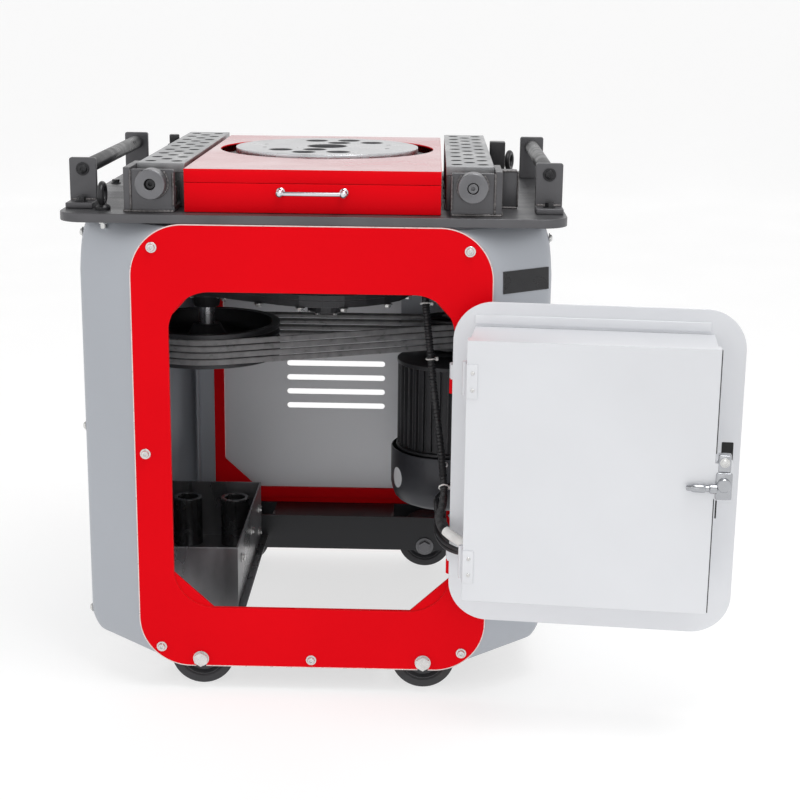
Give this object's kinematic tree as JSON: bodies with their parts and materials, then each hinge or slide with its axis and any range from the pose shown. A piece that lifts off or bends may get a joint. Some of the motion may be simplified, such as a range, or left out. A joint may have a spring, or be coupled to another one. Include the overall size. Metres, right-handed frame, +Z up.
{
  "type": "rebar bender",
  "caption": "Floor-standing rebar bender: red cabinet on wheels, turning disc, perforated bars and guide rollers on a steel table, open door with electric box.",
  "frame": {"origin": "middle of the bounding box, on the floor, with the front door standing open as at rest", "axes": "+Z up, -Y towards the front door side, +X to the right seen from the front"},
  "size_m": [1.1376, 0.9592, 0.925],
  "materials": {
    "red_paint": "gloss paint, worn at edges",
    "silver_paint": "satin silver paint",
    "door_paint": "satin light grey paint",
    "dark_steel": "black mill scale with welds",
    "cast_housing": "painted casting",
    "bare_zinc": "bright zinc plate",
    "machined_steel": "machined steel",
    "chrome_trim": "polished chrome",
    "black_steel": "blackened steel",
    "wheel_rubber": "worn rubber",
    "belt_rubber": "matte rubber",
    "cowl_paint": "satin grey paint"
  },
  "bodies": {
    "frame": {"front_panel": "red_paint", "rear_panel": "red_paint", "top_cover": "red_paint", "side_cover_left": "silver_paint", "side_cover_right": "silver_paint", "corner_post_front_left": "silver_paint", "corner_post_front_right": "silver_paint", "corner_post_rear_left": "silver_paint", "corner_post_rear_right": "silver_paint", "motor_bracket": "silver_paint", "table_plate": "dark_steel", "bar_bracket_left": "dark_steel", "bar_bracket_right": "dark_steel", "roller_bracket_front_left": "dark_steel", "roller_bracket_front_right": "dark_steel", "roller_bracket_rear_left": "dark_steel", "roller_bracket_rear_right": "dark_steel", "front_beam": "dark_steel", "rear_beam": "dark_steel", "tool_bin": "dark_steel", "gearbox_housing": "cast_housing", "gearbox_cover": "cast_housing", "motor_body": "cast_housing", "bar_left": "bare_zinc", "bar_right": "bare_zinc", "axle_bolt_front_left": "machined_steel", "axle_bolt_front_right": "machined_steel", "axle_bolt_rear_left": "machined_steel", "axle_bolt_rear_right": "machined_steel", "sleeve_1": "black_steel", "sleeve_2": "black_steel", "lifting_eye_front": "black_steel", "lifting_eye_rear": "black_steel", "v_belt_1": "belt_rubber", "v_belt_2": "belt_rubber", "v_belt_3": "belt_rubber", "v_belt_4": "belt_rubber", "motor_fan_cowl": "cowl_paint"},
    "turntable": {"turntable_disc": "machined_steel", "main_shaft": "machined_steel", "output_gear": "machined_steel"},
    "countershaft": {"countershaft": "machined_steel"},
    "input_drive": {"input_shaft": "machined_steel", "big_pulley": "cast_housing"},
    "motor_rotor": {"motor_pulley": "cast_housing"},
    "drawer": {"drawer_tray": "red_paint", "drawer_handle": "chrome_trim"},
    "front_door": {"door_panel": "door_paint", "electric_box": "door_paint"},
    "box_lid": {"box_lid": "door_paint"},
    "lid_lock": {"lid_lock": "chrome_trim"},
    "rear_door": {"rear_door": "door_paint"},
    "roller_left": {"guide_roller_left": "black_steel"},
    "roller_right": {"guide_roller_right": "black_steel"},
    "screw_left": {"adjusting_screw_left": "machined_steel"},
    "screw_right": {"adjusting_screw_right": "machined_steel"},
    "wheel_front_left": {"wheel_front_left": "wheel_rubber"},
    "wheel_front_right": {"wheel_front_right": "wheel_rubber"},
    "wheel_rear_left": {"wheel_rear_left": "wheel_rubber"},
    "wheel_rear_right": {"wheel_rear_right": "wheel_rubber"}
  },
  "joints": [
    {"name": "input_shaft_spin", "type": "hinge", "parent": "frame", "child": "input_drive", "pos_m": [-0.37778, 0.15805, 0.543], "axis": [0, 0, 1], "continuous": true},
    {"name": "motor_spin", "type": "hinge", "parent": "frame", "child": "motor_rotor", "pos_m": [0.09422, 0.25005, 0.543], "axis": [0, 0, 1], "continuous": true},
    {"name": "countershaft_spin", "type": "hinge", "parent": "frame", "child": "countershaft", "pos_m": [-0.28818, 0.23785, 0.693], "axis": [0, 0, 1], "continuous": true},
    {"name": "turntable_spin", "type": "hinge", "parent": "frame", "child": "turntable", "pos_m": [-0.14378, 0.15805, 0.903], "axis": [0, 0, 1], "continuous": true},
    {"name": "front_door_hinge", "type": "hinge", "parent": "frame", "child": "front_door", "pos_m": [0.09522, -0.27545, 0.433], "axis": [0, 0, 1], "range_deg": [-174, 0]},
    {"name": "box_lid_hinge", "type": "hinge", "parent": "front_door", "child": "box_lid", "pos_m": [0.11198, -0.39935, 0.458], "axis": [0, 0, -1], "range_deg": [0, 110]},
    {"name": "lid_lock_turn", "type": "hinge", "parent": "box_lid", "child": "lid_lock", "pos_m": [0.52031, -0.47049, 0.458], "axis": [-0.1035, -0.9946, 0], "range_deg": [0, 90]},
    {"name": "rear_door_hinge", "type": "hinge", "parent": "frame", "child": "rear_door", "pos_m": [0.09522, 0.47355, 0.433], "axis": [0, 0, -1], "range_deg": [0, 110]},
    {"name": "drawer_slide", "type": "slide", "parent": "frame", "child": "drawer", "axis": [0, -1, 0], "range_m": [0, 0.16]},
    {"name": "guide_roller_left_spin", "type": "hinge", "parent": "frame", "child": "roller_left", "pos_m": [-0.54078, 0.09805, 0.906], "axis": [0, 1, 0], "continuous": true},
    {"name": "adjusting_screw_left_slide", "type": "slide", "parent": "frame", "child": "screw_left", "axis": [0, -1, 0], "range_m": [0, 0.04]},
    {"name": "wheel_front_left_spin", "type": "hinge", "parent": "frame", "child": "wheel_front_left", "pos_m": [-0.33978, -0.21495, 0.0565], "axis": [0, 1, 0], "continuous": true},
    {"name": "wheel_rear_left_spin", "type": "hinge", "parent": "frame", "child": "wheel_rear_left", "pos_m": [-0.33978, 0.41305, 0.0565], "axis": [0, 1, 0], "continuous": true},
    {"name": "guide_roller_right_spin", "type": "hinge", "parent": "frame", "child": "roller_right", "pos_m": [0.25322, 0.09805, 0.906], "axis": [0, 1, 0], "continuous": true},
    {"name": "adjusting_screw_right_slide", "type": "slide", "parent": "frame", "child": "screw_right", "axis": [0, -1, 0], "range_m": [0, 0.04]},
    {"name": "wheel_front_right_spin", "type": "hinge", "parent": "frame", "child": "wheel_front_right", "pos_m": [0.05222, -0.21495, 0.0565], "axis": [0, 1, 0], "continuous": true},
    {"name": "wheel_rear_right_spin", "type": "hinge", "parent": "frame", "child": "wheel_rear_right", "pos_m": [0.05222, 0.41305, 0.0565], "axis": [0, 1, 0], "continuous": true}
  ],
  "couplings": [
    {"joint": "motor_spin", "follows": "input_shaft_spin", "ratio": 2.9167},
    {"joint": "countershaft_spin", "follows": "input_shaft_spin", "ratio": -0.21212},
    {"joint": "turntable_spin", "follows": "input_shaft_spin", "ratio": 0.047138}
  ]
}
